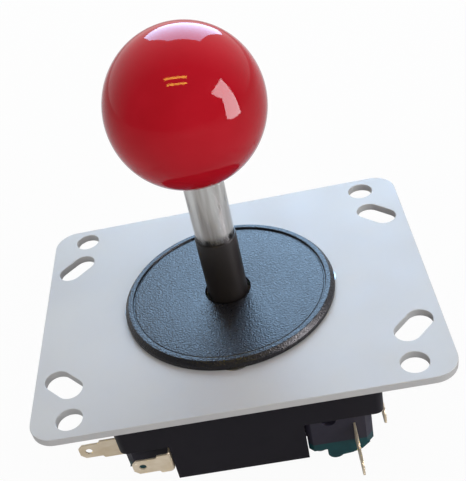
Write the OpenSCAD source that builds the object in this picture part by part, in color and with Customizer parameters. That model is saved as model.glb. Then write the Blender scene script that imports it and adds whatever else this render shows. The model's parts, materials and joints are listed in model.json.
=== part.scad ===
// Ball top joystick for a game cabinet, hung under its mounting plate.
// The shaft rocks in a ball and socket, a spring in the cup centres it, and the bead of
// the cup presses one of four lever switches set in a pinwheel. A square gate stops it.
// Millimetres. The origin is the centre of the plate's top face, +Z is up, -Y is the front.

/* [Mounting plate] */
// Width of the plate, left to right
plate_w = 97; // [96:0.5:104]
// Depth of the plate, front to back
plate_d = 78; // [77:0.5:84]
// Thickness of the plate
plate_t = 2; // [1.6:0.1:2.6]
// Radius of the plate's corners
plate_corner_r = 6; // [3:0.5:8]
// Distance of a round hole from the plate's side edge
hole_edge_x = 9.4; // [8:0.1:10]
// Distance of a round hole from the plate's front or back edge
hole_edge_y = 5.4; // [5:0.1:6.4]
// Diameter of the round holes
hole_d = 6.4; // [5:0.1:7]
// Distance of a slanted slot's centre from the plate's side edge
slot_edge_x = 7.1; // [6.4:0.1:7.6]
// Distance of a slanted slot's centre from the plate's front or back edge
slot_edge_y = 16.8; // [16:0.1:18]
// Width of a slanted slot
slot_w = 6.2; // [5:0.1:6.6]
// End to end length of a slanted slot
slot_len = 11; // [9:0.1:11.5]

/* [Plate screws] */
// Distance of the plate screws from the centre
screw_r = 23.1; // [22.6:0.1:23.4]
// Diameter of a countersunk head
screw_head_d = 8; // [7.4:0.1:8.4]
// Diameter of the threaded shank
screw_shank_d = 3.5; // [3:0.1:3.8]
// Length of a plate screw
screw_len = 11; // [9:0.5:12]

/* [Housing] */
// Room between a switch's back and the housing's wall
back_room = 1.3; // [1:0.1:2]
// Wall thickness of the tray
tray_wall = 2.2; // [1.6:0.1:2.4]
// Thickness of the tray's floor
floor_t = 2; // [1.6:0.1:2.4]
// Radius of the housing's corners
housing_corner_r = 2; // [1:0.5:4]
// Reach of a side block's wall below the switches
block_lip = 1.9; // [0.5:0.1:2.4]
// Left end of a side block, from the centre
block_left = 19.8; // [16:0.1:20]
// Thickness of a side block's wall
block_wall = 1.7; // [1.2:0.1:1.8]
// Thickness of the stiffening ribs
rib_t = 1.6; // [1.2:0.1:2]

/* [Ball and socket] */
// Radius of the pivot ball
pivot_r = 10; // [9.8:0.05:10.2]
// Depth of the pivot's centre below the plate
pivot_drop = 7.6; // [7:0.1:8]
// Depth of the socket below the pivot's centre
socket_drop = 8; // [7.8:0.05:8.2]
// Reach of the socket's boss below the tray
socket_boss = 0.6; // [0.4:0.1:1.5]
// Outer radius of the retaining ring
retainer_r = 12.5; // [12:0.1:13]
// Height of the lip above the ring's opening
retainer_lip = 0.74; // [0.6:0.02:1]
// Diameter of the cross pin
cross_pin_d = 2.5; // [2:0.1:3]
// Largest tilt of the stick, each way
tilt = 10; // [8:0.5:10.5]

/* [Stick] */
// Diameter of the bright shaft
shaft_d = 9.5; // [9:0.1:9.8]
// Diameter of the shaft inside the sleeve
stem_d = 8; // [7.6:0.1:8.2]
// Diameter of the shaft below the pivot
neck_d = 6; // [5.6:0.1:6.2]
// Outer diameter of the sleeve
sleeve_d = 10; // [9.8:0.1:10.4]
// Height of the sleeve's top above the plate
sleeve_top = 19; // [15:0.5:24]
// Radius of the ball top
ball_r = 17.5; // [15:0.5:20]
// Height of the ball's centre above the plate
ball_z = 53; // [48:0.5:60]
// Diameter of the stud in the ball
stud_d = 6; // [5:0.1:6.4]
// Outer diameter of the threaded insert
insert_d = 9; // [8:0.1:9.4]

/* [Dust disc] */
// Radius of the dust disc
disc_r = 26.6; // [26:0.1:28]
// Height of the disc
disc_h = 2.3; // [2:0.1:2.6]
// Width of the raised rim's top
disc_rim = 1.2; // [0.8:0.1:2]
// Depth of the dished top
disc_dish = 0.4; // [0.2:0.05:0.5]
// Thickness of the disc's web
disc_web = 0.8; // [0.6:0.05:0.9]
// Outer radius of the slip washer
slip_r = 19.5; // [17:0.5:20]
// Inner radius of the slip washer
slip_bore_r = 12; // [10:0.5:14]

/* [Actuator and spring] */
// Outer radius of the cup
cup_r = 8; // [7.9:0.05:8.2]
// Wall thickness of the cup
cup_wall = 0.7; // [0.6:0.05:0.75]
// Radius of the bead that meets the levers
bead_r = 0.8; // [0.6:0.05:0.9]
// Height of the bead below the middle of the levers
bead_drop = 1.1; // [0.8:0.05:1.2]
// Height of the cup
cup_h = 7.6; // [7.4:0.1:8]
// Radius of the boss below the cup
boss_r = 6; // [5.5:0.1:6.4]
// Height of the boss below the cup
boss_h = 2.5; // [2.2:0.1:3]
// Mean radius of the spring
spring_r = 6.5; // [6.4:0.02:6.6]
// Diameter of the spring's wire
wire_d = 1; // [0.8:0.05:1.1]
// Turns of the spring
spring_turns = 5; // [4:1:6]

/* [Gate] */
// Thickness of the gate plate
gate_t = 1.7; // [1.4:0.1:1.9]
// Width of the gate plate
gate_w = 46; // [45:0.5:48]
// Post position across the block
post_x = 4; // [3.8:0.1:4.4]
// Post distance from the centre
post_y = 19; // [18:0.1:19.5]
// Radius of a post
post_r = 3.5; // [3:0.1:3.6]

/* [Lever switches] */
// Length of a switch
switch_len = 27.8; // [27:0.1:28]
// Depth of a switch, from its plunger face to its back
switch_d = 15.9; // [15.5:0.1:16.1]
// Thickness of a switch
switch_t = 10.3; // [10:0.1:10.4]
// Distance of the plunger face from the centre
switch_in = 13.1; // [12.9:0.05:13.4]
// How far a switch's terminal end lies inside the housing's face
end_recess = 0.1; // [0:0.05:0.5]
// Thickness of the dark half of a switch
case_t = 8; // [7:0.1:8.4]
// Diameter of a plunger
plunger_d = 3; // [2.6:0.1:3.2]
// Distance from the lever's hinge to the plunger
plunger_arm = 9.5; // [9:0.1:10]
// Width of a lever
lever_w = 2.9; // [2.5:0.05:2.95]
// Thickness of a lever
lever_t = 0.4; // [0.3:0.05:0.5]
// Width of a terminal's tab
tab_w = 4.8; // [4:0.1:5]
// Width of a terminal's shoulder
shoulder_w = 6.3; // [5.5:0.1:6.6]
// Thickness of a terminal
tab_t = 0.5; // [0.4:0.05:0.6]
// Reach of the end terminal beyond the switch
end_tab = 12.1; // [10:0.1:13]
// Reach of the end terminal's shoulder beyond the switch
end_shoulder = 6.2; // [4:0.1:7]
// Distance of the bent terminal's blade from the switch's back
side_reach = 3.3; // [2.8:0.1:4.2]
// Length of the bent terminal's blade
side_tab = 9.6; // [8:0.1:10]
// Length of the shoulder on the bent terminal's blade
side_shoulder = 3; // [2.5:0.1:4]

/* [Hidden] */
$fn = 64;

// Catch, the low swell beside it, and the notch on the terminal end of a switch
catch_at = 6.4;
catch_r = 2;
catch_t = 2.2;
catch_drop = 3.6;
swell_at = [4, 6.4, 8.4];
notch_at = 5.6;
notch_r = 1.7;

// Gaps: seated pieces, running fits, and pieces that pass each other
seat_gap = 0.02;
run_gap = 0.05;
pass_gap = 0.3;
eps = 0.5;

// Heights, all measured from the plate's top face; the tray is as deep as the socket needs
plate_bottom = -plate_t;
pivot_z = plate_bottom - pivot_drop;
web_bottom = pivot_z - socket_drop;
floor_bottom = web_bottom + socket_boss;
floor_top = floor_bottom + floor_t;
washer_t = 0.5;
washer_bottom = web_bottom - washer_t;

// Tilt about both axes at once, and what the stick sweeps
corner_tilt = atan(sqrt(2) * tan(tilt));
function sweep(r, h) = r / cos(corner_tilt) + abs(h) * tan(corner_tilt);
sleeve_r = sleeve_d / 2;
stem_r = stem_d / 2;
neck_r = neck_d / 2;
sleeve_bottom = plate_bottom + 1.6;
plate_bore_r = sweep(sleeve_r, -pivot_z) + 1.1;

// Housing: its faces lie just outside the switches, whose terminal ends are nearly flush
switch_back = switch_in + switch_d;
housing_half = switch_back + back_room + block_wall;
housing_w = 2 * housing_half;
switch_end = housing_half - end_recess;

// Ball and socket
socket_r = pivot_r + run_gap;
pivot_flat = pivot_drop - 0.2;
ring_open_h = pivot_drop - retainer_lip;
ring_open_r = sqrt(pow(socket_r, 2) - pow(ring_open_h, 2));
upper_boss_r = retainer_r + 1.7;
lower_boss_r = switch_in - pass_gap;
cross_pin_r = cross_pin_d / 2;
cross_pin_len = 2 * sqrt(pow(pivot_r, 2) - pow(cross_pin_r, 2)) - 0.8;
rock_slot = stem_r / cos(tilt) + 0.15;
stem_end = 5.5;
washer_bore_r = sqrt(pow(socket_r, 2) - pow(socket_drop, 2)) + 0.12;

// Cup, bead and spring
switch_mid = floor_bottom - switch_t / 2;
bead_z = switch_mid - bead_drop;
cup_top = bead_z + bead_r;
cup_bottom = cup_top - cup_h;
cup_in_r = cup_r - cup_wall;
cup_floor = cup_bottom + 1.2;
crest_r = cup_r - 0.2 + bead_r;
boss_bottom = cup_bottom - boss_h;
clip_t = 0.7;
clip_r = 5;
groove_r = 2.4;
shaft_bottom = boss_bottom - clip_t - 2;
stud_bottom = ball_z - sqrt(pow(ball_r, 2) - pow(shaft_d / 2, 2)) + 0.3;
wire_r = wire_d / 2;
spring_top = washer_bottom - seat_gap;
spring_low = cup_floor + seat_gap;

// Pan screws: their heads and how deep they bite
recess_w = 2.6;
recess_h = 0.9;
gate_head_t = 1.6;
gate_bite = 7;
switch_head_t = 1.5;
switch_bite = 4.5;

// Gate and its posts
gate_top = cup_bottom - 0.25;
gate_bottom = gate_top - gate_t;
gate_half = (pivot_z - boss_bottom) * sin(tilt) + boss_r * cos(tilt) + pass_gap;
gate_screw_r = 1.4;
gate_head_r = 2.8;
gate_notch_at = 12;
gate_notch_r = 4.5;

// Switches, drawn at the front side; the hinge of a lever is near its terminal end
switch_bottom = floor_bottom - switch_t;
case_bottom = floor_bottom - case_t;
block_bottom = switch_bottom - block_lip;
hinge_x = -switch_end + 5.5;
hinge_y = -switch_in + 1;
contact_gap = 0.35;
lever_rise = -hinge_y - crest_r - contact_gap - lever_t / 2;
lever_angle = atan(lever_rise / -hinge_x);
lever_len = -hinge_x + 3.4;
eye_r = 0.85;
lever_pin_r = 0.45;
plunger_r = plunger_d / 2;
plunger_x = hinge_x + plunger_arm;
plunger_tip = hinge_y + plunger_arm * tan(lever_angle) - lever_t / 2 / cos(lever_angle)
    - run_gap;
plunger_end = -switch_in - 3.5;
ear_gap = 0.15;
ear_t = 0.9;
// The two mounting holes of a switch lie in opposite corners, this far from its faces
mount_edge = 2.8;
mount_hole_r = 1.55;
mount_a = [-switch_end + mount_edge, -switch_in - mount_edge];
mount_b = [-switch_end + switch_len - mount_edge, -switch_back + mount_edge];
switch_screw_r = 1.45;
switch_head_r = 2.4;
end_tab_y = -switch_back + 4.4;
side_tab_x = -block_left - tab_t;
side_tab_y = -switch_back - side_reach;
bend_r = 0.9;
tab_root = 2.5;
tab_hole = 2.5;

// Colours
steel_grey = "#cdd3da";
black_plastic = "#24242a";
dark_plastic = "#2c2c33";
teal_plastic = "#1f4a4a";
brass_pale = "#d3c8a2";
bright_steel = "#b9bcc0";
chrome_bright = "#dfe2e6";
ball_red = "#b3121f";
nylon_white = "#e6e3da";

// Outline of a rectangle with round corners, centred
module rounded_rect(w, d, r) {
    square([w - 2 * r, d], center = true);
    square([w, d - 2 * r], center = true);
    for (x = [-1, 1], y = [-1, 1])
        translate([x * (w / 2 - r), y * (d / 2 - r)]) circle(r);
}

// Slab with round corners between two heights
module slab(w, d, r, low, high) {
    translate([0, 0, low]) linear_extrude(high - low) rounded_rect(w, d, r);
}

// Cylinder between two heights
module post(r, low, high) {
    translate([0, 0, low]) cylinder(h = high - low, r = r);
}

// Box from its lowest to its highest corner
module block(low, high) {
    translate(low) cube(high - low);
}

// Copies its children to the four sides of the pinwheel
module all_sides() {
    for (side = [0:3]) rotate(90 * side) children();
}

// Cross recess of a screw's drive, cut downwards from z = 0
module cross_recess(size, depth) {
    for (turn = [0, 90])
        rotate(turn) translate([-size / 2, -0.4, -depth]) cube([size, 0.8, depth + eps]);
}

// Stamped plate with its holes, slanted slots and countersinks
module mounting_plate() {
    color(steel_grey) difference() {
        slab(plate_w, plate_d, plate_corner_r, plate_bottom, 0);
        post(plate_bore_r, plate_bottom - eps, eps);
        for (x = [-1, 1], y = [-1, 1]) {
            translate([x * (plate_w / 2 - hole_edge_x), y * (plate_d / 2 - hole_edge_y), 0])
                post(hole_d / 2, plate_bottom - eps, eps);
            translate([x * (plate_w / 2 - slot_edge_x), y * (plate_d / 2 - slot_edge_y),
                plate_bottom - eps])
                rotate(-45 * x * y) linear_extrude(plate_t + 2 * eps)
                    slanted_slot();
        }
        all_sides() translate([0, -screw_r, 0]) {
            countersink(seat_gap);
            post(screw_shank_d / 2 + run_gap, plate_bottom - eps, eps);
        }
    }
}

// Outline of one slot, along X
module slanted_slot() {
    square([slot_len - slot_w, slot_w], center = true);
    for (x = [-1, 1]) translate([x * (slot_len - slot_w) / 2, 0]) circle(slot_w / 2);
}

// Countersunk cone, wider by a gap when it is a hole
module countersink(gap) {
    depth = screw_head_d / 2 - screw_shank_d / 2;
    head_t = min(depth, plate_t - 0.3);
    translate([0, 0, -head_t])
        cylinder(h = head_t, r1 = screw_head_d / 2 - head_t + gap,
            r2 = screw_head_d / 2 + gap);
}

// Four countersunk screws that hold the housing under the plate
module plate_screws() {
    color(bright_steel) all_sides() translate([0, -screw_r, 0]) difference() {
        union() {
            countersink(0);
            post(screw_shank_d / 2, -screw_len, -0.5);
        }
        cross_recess(4.4, 1.1);
    }
}

// Moulded housing: open tray, centre socket, side blocks and gate posts
module housing() {
    color(black_plastic) difference() {
        union() {
            tray();
            post(upper_boss_r, floor_bottom, plate_bottom);
            post(lower_boss_r, web_bottom, floor_bottom + eps);
            all_sides() {
                tray_bosses();
                side_block();
            }
        }
        post(retainer_r + seat_gap, pivot_z, plate_bottom + eps);
        translate([0, 0, pivot_z]) sphere(socket_r);
        all_sides() housing_screw_holes();
    }
}

// Tray with one open side, under the plate
module tray() {
    difference() {
        slab(housing_w, housing_w, housing_corner_r, floor_bottom, plate_bottom);
        slab(housing_w - 2 * tray_wall, housing_w - 2 * tray_wall,
            max(housing_corner_r - tray_wall, 0.4), floor_top, plate_bottom + eps);
    }
}

// Screw bosses of one side of the tray, with the ribs that carry them
module tray_bosses() {
    inner = housing_half - tray_wall / 2;
    translate([0, -screw_r, 0]) post(screw_shank_d / 2 + 2.1, floor_bottom, plate_bottom);
    block([-rib_t / 2, -inner, floor_bottom], [rib_t / 2, -upper_boss_r + eps, plate_bottom]);
    for (hole = [mount_a, mount_b])
        translate([hole[0], hole[1], 0])
            post(switch_screw_r + 1.2, floor_bottom, floor_bottom + switch_bite + 2.5);
    rotate(45) block([-rib_t / 2, -housing_w / sqrt(2) + 3.5, floor_bottom],
        [rib_t / 2, -upper_boss_r + eps, plate_bottom - 3]);
}

// Wall in front of a switch, its end stop, and a post for the gate
module side_block() {
    face = -housing_half;
    back = face + block_wall;
    right = switch_in - 0.2;
    stop = -switch_end + switch_len + pass_gap;
    block([-block_left, face, block_bottom], [right, back, floor_bottom + eps]);
    block([right - 2, back - eps, block_bottom], [right, -switch_end + 2.5, floor_bottom + eps]);
    block([stop, back - eps, block_bottom + 1.8],
        [stop + rib_t, -switch_back + 4, floor_bottom + eps]);
    block([post_x - rib_t / 2, back - eps, block_bottom],
        [post_x + rib_t / 2, -post_y, floor_bottom + eps]);
    translate([post_x, -post_y, 0]) post(post_r, gate_top, floor_bottom + eps);
}

// Pilot holes of one side of the housing
module housing_screw_holes() {
    translate([0, -screw_r, 0])
        post(screw_shank_d / 2 + seat_gap, -screw_len - 0.5, plate_bottom + eps);
    for (hole = [mount_a, mount_b])
        translate([hole[0], hole[1], 0])
            post(switch_screw_r + seat_gap, floor_bottom - eps, floor_bottom + switch_bite + 1);
    translate([post_x, -post_y, 0])
        post(gate_screw_r + seat_gap, gate_top - eps, gate_top + gate_bite + 1);
}

// Ring over the pivot ball, held down by the plate
module pivot_retainer() {
    color(nylon_white) difference() {
        post(retainer_r, pivot_z, plate_bottom);
        translate([0, 0, pivot_z]) sphere(socket_r);
        post(ring_open_r, pivot_z + ring_open_h, plate_bottom + eps);
    }
}

// Flat washer that the spring presses against the housing
module spring_washer() {
    color(bright_steel) difference() {
        post(cup_r, washer_bottom, web_bottom);
        post(washer_bore_r, washer_bottom - eps, web_bottom + eps);
    }
}

// Square gate under the posts
module restrictor_gate() {
    color(black_plastic) difference() {
        slab(gate_w, gate_w, 6, gate_bottom, gate_top);
        slab(2 * gate_half, 2 * gate_half, 1.5, gate_bottom - eps, gate_top + eps);
        all_sides() {
            translate([post_x, -post_y, 0])
                post(gate_screw_r + 0.15, gate_bottom - eps, gate_top + eps);
            translate([post_x - gate_notch_at, -gate_w / 2, 0])
                post(gate_notch_r, gate_bottom - eps, gate_top + eps);
        }
    }
}

// Pan head screw hanging from a height, with its shank above
module pan_screw(seat, head_r, head_t, shank_r, shank_len) {
    difference() {
        union() {
            post(head_r, seat - head_t + 0.5, seat);
            translate([0, 0, seat - head_t])
                cylinder(h = 0.5, r1 = head_r - 0.5, r2 = head_r);
            post(shank_r, seat - 0.1, seat + shank_len);
        }
        translate([0, 0, seat - head_t]) mirror([0, 0, 1]) cross_recess(recess_w, recess_h);
    }
}

// Four screws that hold the gate to its posts
module gate_screws() {
    color(bright_steel) all_sides() translate([post_x, -post_y, 0])
        pan_screw(gate_bottom, gate_head_r, gate_head_t, gate_screw_r, gate_t + gate_bite);
}

// Eight screws that hold the switches under the tray
module switch_screws() {
    color(bright_steel) all_sides() for (hole = [mount_a, mount_b])
        translate([hole[0], hole[1], 0])
            pan_screw(switch_bottom, switch_head_r, switch_head_t, switch_screw_r,
                switch_t + switch_bite);
}

// Four hinge pins of the levers
module lever_pins() {
    pin_half = lever_w / 2 + ear_gap + ear_t;
    color(bright_steel) all_sides() translate([hinge_x, hinge_y, 0])
        post(lever_pin_r, switch_mid - pin_half, switch_mid + pin_half);
}

// Half of a switch body between two heights, before its own details
module switch_shell(low, high) {
    difference() {
        union() {
            translate([0, 0, low]) linear_extrude(high - low) polygon([
                [-switch_end, -switch_in - 1.2], [-switch_end + 1.2, -switch_in],
                [-switch_end + switch_len - 0.6, -switch_in],
                [-switch_end + switch_len, -switch_in - 0.6],
                [-switch_end + switch_len, -switch_back + 1.4],
                [-switch_end + switch_len - 1.4, -switch_back],
                [-switch_end + 1.8, -switch_back], [-switch_end, -switch_back + 1.8]]);
            intersection() {
                block([hinge_x - eye_r, -switch_in - eps, low],
                    [hinge_x + eye_r, hinge_y + eye_r, high]);
                lever_ears();
            }
        }
        for (hole = [mount_a, mount_b])
            translate([hole[0], hole[1], 0]) post(mount_hole_r, low - eps, high + eps);
        translate([plunger_x, -switch_in + eps, switch_mid]) rotate([90, 0, 0])
            cylinder(h = 5 + eps, r = plunger_r + run_gap);
        end_terminal_slot();
        side_terminal_slot();
    }
}

// Ears on the plunger face that carry the lever's hinge pin
module lever_ears() {
    inner = lever_w / 2 + ear_gap;
    for (z = [inner, -inner - ear_t]) difference() {
        union() {
            translate([hinge_x, hinge_y, 0]) post(eye_r, switch_mid + z, switch_mid + z + ear_t);
            block([hinge_x - eye_r, -switch_in - eps, switch_mid + z],
                [hinge_x + eye_r, hinge_y, switch_mid + z + ear_t]);
        }
        translate([hinge_x, hinge_y, 0])
            post(lever_pin_r + seat_gap, switch_mid + z - eps, switch_mid + z + ear_t + eps);
    }
}

// Dark half of a switch, with a round notch at the top of its terminal end
module switch_case() {
    color(dark_plastic) difference() {
        switch_shell(case_bottom, floor_bottom);
        translate([-switch_end - eps, -switch_in - notch_at, floor_bottom])
            rotate([0, 90, 0]) cylinder(h = 2 + eps, r = notch_r);
    }
}

// Teal half of a switch, with the round catch and the low swell on its terminal end
module switch_cover() {
    color(teal_plastic) {
        switch_shell(switch_bottom, case_bottom);
        difference() {
            translate([-switch_end, -switch_in, switch_bottom]) rotate([90, 0, 90])
                linear_extrude(catch_t) {
                    translate([-catch_at, -catch_drop + catch_r]) circle(catch_r);
                    translate([-catch_at - catch_r, -catch_drop + catch_r])
                        square([2 * catch_r, catch_drop - catch_r + eps]);
                    polygon([[-catch_at, eps], [-catch_at, -0.85 * catch_drop],
                        [-catch_at - swell_at[0], -0.7 * catch_drop],
                        [-catch_at - swell_at[1], -0.45 * catch_drop],
                        [-catch_at - swell_at[2], eps]]);
                }
            translate([mount_a[0], mount_a[1], 0])
                post(switch_head_r + 0.2, switch_bottom - catch_drop - eps, switch_bottom + 2 * eps);
        }
    }
}

// Side outline of a tab from its root at x = 0 to its tip: shoulder, tab, cut corners
module tab_outline(root, shoulder, tip) {
    polygon([
        [-root, -shoulder_w / 2], [shoulder, -shoulder_w / 2],
        [shoulder + 0.4, -tab_w / 2], [tip - 1.2, -tab_w / 2],
        [tip, -tab_w / 2 + 1.2], [tip, tab_w / 2 - 1.2],
        [tip - 1.2, tab_w / 2], [shoulder + 0.4, tab_w / 2],
        [shoulder, shoulder_w / 2], [-root, shoulder_w / 2]]);
}

// Straight terminal that leaves the switch's end
module end_terminal() {
    color(brass_pale) translate([-switch_end, end_tab_y + tab_t / 2, switch_mid])
        rotate([90, 0, 0]) mirror([1, 0, 0]) linear_extrude(tab_t) difference() {
            tab_outline(tab_root, end_shoulder, end_tab);
            translate([end_tab - tab_hole, 0]) circle(0.9);
        }
}

// Pocket of the straight terminal in the switch
module end_terminal_slot() {
    half = tab_t / 2 + seat_gap;
    block([-switch_end - eps, end_tab_y - half, switch_mid - shoulder_w / 2 - seat_gap],
        [-switch_end + tab_root + seat_gap, end_tab_y + half, switch_mid + shoulder_w / 2 + seat_gap]);
}

// Bent terminal that leaves the switch's back and turns along it
module side_terminal() {
    bend_x = side_tab_x - bend_r;
    bend_y = side_tab_y + bend_r;
    color(brass_pale) intersection() {
        translate([0, 0, switch_mid - shoulder_w / 2]) linear_extrude(shoulder_w) {
            translate([side_tab_x - tab_t / 2, bend_y])
                square([tab_t, -switch_back + tab_root - bend_y]);
            translate([side_tab_x - side_tab, side_tab_y - tab_t / 2])
                square([side_tab - bend_r, tab_t]);
            translate([bend_x, bend_y]) difference() {
                circle(bend_r + tab_t / 2);
                circle(bend_r - tab_t / 2);
                translate([-3, -3]) square([3, 6]);
                translate([-3, 0]) square([6, 3]);
            }
        }
        translate([side_tab_x + tab_t, 0, switch_mid]) rotate([90, 0, 0])
            mirror([1, 0, 0]) linear_extrude(switch_back + side_reach + 1) difference() {
                tab_outline(1, side_shoulder + tab_t, side_tab + tab_t);
                translate([side_tab + tab_t - tab_hole, 0]) circle(0.9);
            }
    }
}

// Pocket of the bent terminal in the switch
module side_terminal_slot() {
    half = tab_t / 2 + seat_gap;
    block([side_tab_x - half, -switch_back - eps, switch_mid - shoulder_w / 2 - seat_gap],
        [side_tab_x + half, -switch_back + tab_root + seat_gap,
            switch_mid + shoulder_w / 2 + seat_gap]);
}

// Plunger with a domed tip, which slides in the switch
module plunger() {
    dome = plunger_tip - plunger_r;
    color(nylon_white) translate([plunger_x, 0, switch_mid]) {
        translate([0, dome, 0]) rotate([90, 0, 0])
            cylinder(h = dome - plunger_end, r = plunger_r);
        intersection() {
            translate([0, dome, 0]) sphere(plunger_r);
            translate([-plunger_r, dome - 0.2, -plunger_r])
                cube([2 * plunger_r, plunger_r + 0.2, 2 * plunger_r]);
        }
    }
}

// Spring steel lever, rolled round its pin at one end
module lever() {
    color(bright_steel) translate([hinge_x, hinge_y, switch_mid - lever_w / 2])
        rotate(lever_angle) linear_extrude(lever_w) difference() {
            union() {
                circle(eye_r);
                translate([0, -lever_t / 2]) square([lever_len, lever_t]);
                translate([lever_len, 0]) circle(lever_t / 2);
            }
            circle(lever_pin_r + run_gap);
        }
}

// Ball that tilts fore and aft in the socket; its slot lets the shaft rock sideways
module pivot_ball() {
    reach = pivot_flat + 1;
    color(nylon_white) translate([0, 0, pivot_z]) difference() {
        sphere(pivot_r);
        post(pivot_r, pivot_flat, pivot_r + eps);
        post(pivot_r, -pivot_r - eps, -pivot_flat);
        translate([0, stem_r + run_gap, 0]) rotate([90, 0, 0])
            linear_extrude(2 * (stem_r + run_gap)) polygon([
                [-rock_slot, 0], [-rock_slot - reach * tan(tilt + 1), reach],
                [rock_slot + reach * tan(tilt + 1), reach], [rock_slot, 0],
                [rock_slot + reach * tan(tilt + 1), -reach],
                [-rock_slot - reach * tan(tilt + 1), -reach]]);
        rotate([90, 0, 0]) cylinder(h = 2 * pivot_r + 1, r = cross_pin_r + seat_gap,
            center = true);
    }
}

// Pin through the ball and the shaft
module cross_pin() {
    color(bright_steel) translate([0, 0, pivot_z]) rotate([90, 0, 0])
        cylinder(h = cross_pin_len, r = cross_pin_r, center = true);
}

// Turned shaft: stud, bright length, stem, neck, clip groove and slotted end
module shaft() {
    color(chrome_bright) difference() {
        union() {
            post(stud_d / 2, stud_bottom - eps, ball_z - 3);
            post(shaft_d / 2, sleeve_top, stud_bottom);
            post(stem_r, pivot_z - stem_end, sleeve_top + eps);
            post(neck_r, shaft_bottom, pivot_z - stem_end + eps);
        }
        difference() {
            post(neck_r + 1, boss_bottom - clip_t - 2 * seat_gap, boss_bottom);
            post(groove_r, boss_bottom - 2, boss_bottom + eps);
        }
        translate([0, 0, pivot_z]) rotate([90, 0, 0])
            cylinder(h = shaft_d, r = cross_pin_r + run_gap, center = true);
        block([-neck_r - 1, -0.5, shaft_bottom - eps], [neck_r + 1, 0.5, shaft_bottom + 1.2]);
    }
}

// Black sleeve over the stem, from the pivot to the bright length
module shaft_sleeve() {
    color(black_plastic) difference() {
        post(sleeve_r, sleeve_bottom, sleeve_top);
        post(stem_r + seat_gap, sleeve_bottom - eps, sleeve_top + eps);
    }
}

// Ball top, bored for the shaft and its insert
module ball_top() {
    color(ball_red) difference() {
        translate([0, 0, ball_z]) sphere(ball_r, $fn = 128);
        post(shaft_d / 2 + seat_gap, ball_z - ball_r - eps, stud_bottom);
        post(insert_d / 2 + seat_gap, stud_bottom - eps, ball_z - 2);
    }
}

// Threaded insert moulded into the ball
module ball_insert() {
    color(brass_pale) difference() {
        post(insert_d / 2, stud_bottom, ball_z - 2);
        post(stud_d / 2 + seat_gap, stud_bottom - eps, ball_z - 2.6);
    }
}

// Cup on the shaft's foot; its bead meets the levers
module actuator() {
    color(nylon_white) rotate_extrude() {
        polygon([
            [neck_r + seat_gap, boss_bottom], [boss_r, boss_bottom], [boss_r, cup_bottom],
            [cup_r - 0.6, cup_bottom], [cup_r, cup_bottom + 0.6], [cup_r, cup_top],
            [cup_in_r, cup_top], [cup_in_r, cup_floor], [neck_r + seat_gap, cup_floor]]);
        intersection() {
            translate([cup_r - 0.2, bead_z]) circle(bead_r);
            translate([cup_in_r, bead_z - bead_r]) square(2 * bead_r);
        }
    }
}

// Snap ring in the shaft's groove
module e_clip() {
    color(bright_steel) translate([0, 0, boss_bottom - clip_t - seat_gap])
        linear_extrude(clip_t) difference() {
            circle(clip_r);
            circle(groove_r + seat_gap);
            translate([0, -1.9]) square([clip_r + 1, 3.8]);
            for (turn = [75, 180, 285]) rotate(turn)
                translate([groove_r + 0.9, 0]) circle(0.7);
        }
}

// Centring spring, a round wire swept along a helix with flat end turns
module spring() {
    steps = 18;
    sides = 8;
    count = spring_turns * steps;
    rise = spring_top - spring_low - wire_d;
    function level(t) = spring_low + wire_r + rise * min(max((t * spring_turns - 0.8)
        / (spring_turns - 1.6), 0), 1);
    rings = [for (i = [0:count]) let (a = 360 * i / steps, z = level(i / count))
        [for (j = [0:sides - 1]) let (b = 360 * j / sides, r = spring_r + wire_r * cos(b))
            [r * cos(a), r * sin(a), z + wire_r * sin(b) * end_taper(i, count)]]];
    skin = [for (i = [0:count - 1], j = [0:sides - 1]) let (k = (j + 1) % sides)
        [i * sides + j, i * sides + k, (i + 1) * sides + k, (i + 1) * sides + j]];
    ends = [[for (j = [sides - 1:-1:0]) j], [for (j = [0:sides - 1]) count * sides + j]];
    color(bright_steel) polyhedron(points = [for (ring = rings) each ring],
        faces = concat(skin, ends), convexity = 8);
}

// The wire's end turns are ground thin so that they don't meet the turn beside them
function end_taper(i, count) = min(1, 0.55 + 0.45 * min(i, count - i) / 14);

// Thin washer under the dished disc, which slides on the plate
module slip_washer() {
    color(nylon_white) difference() {
        post(slip_r, run_gap, disc_h - disc_dish - disc_web - run_gap);
        post(slip_bore_r, -eps, disc_h);
    }
}

// Dust disc with a rolled edge, a raised rim and a dished top
module dust_disc() {
    edge = disc_h / 2 - 0.1;
    floor_z = disc_h - disc_dish;
    bore = sweep(sleeve_r, disc_h / 2) + 0.2;
    color(black_plastic) rotate_extrude($fn = 96) {
        polygon([
            [bore, floor_z - disc_web], [slip_r + 2.5, floor_z - disc_web],
            [slip_r + 2.8, run_gap], [disc_r, run_gap], [disc_r, disc_h - edge],
            [disc_r - edge, disc_h], [disc_r - edge - disc_rim, disc_h],
            [disc_r - edge - disc_rim - 0.15, floor_z], [bore, floor_z]]);
        intersection() {
            translate([disc_r - edge, disc_h - edge]) circle(edge);
            translate([disc_r - edge, disc_h - edge]) square(edge);
        }
    }
}

module on_side(side) {
    rotate(90 * side) children();
}

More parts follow.
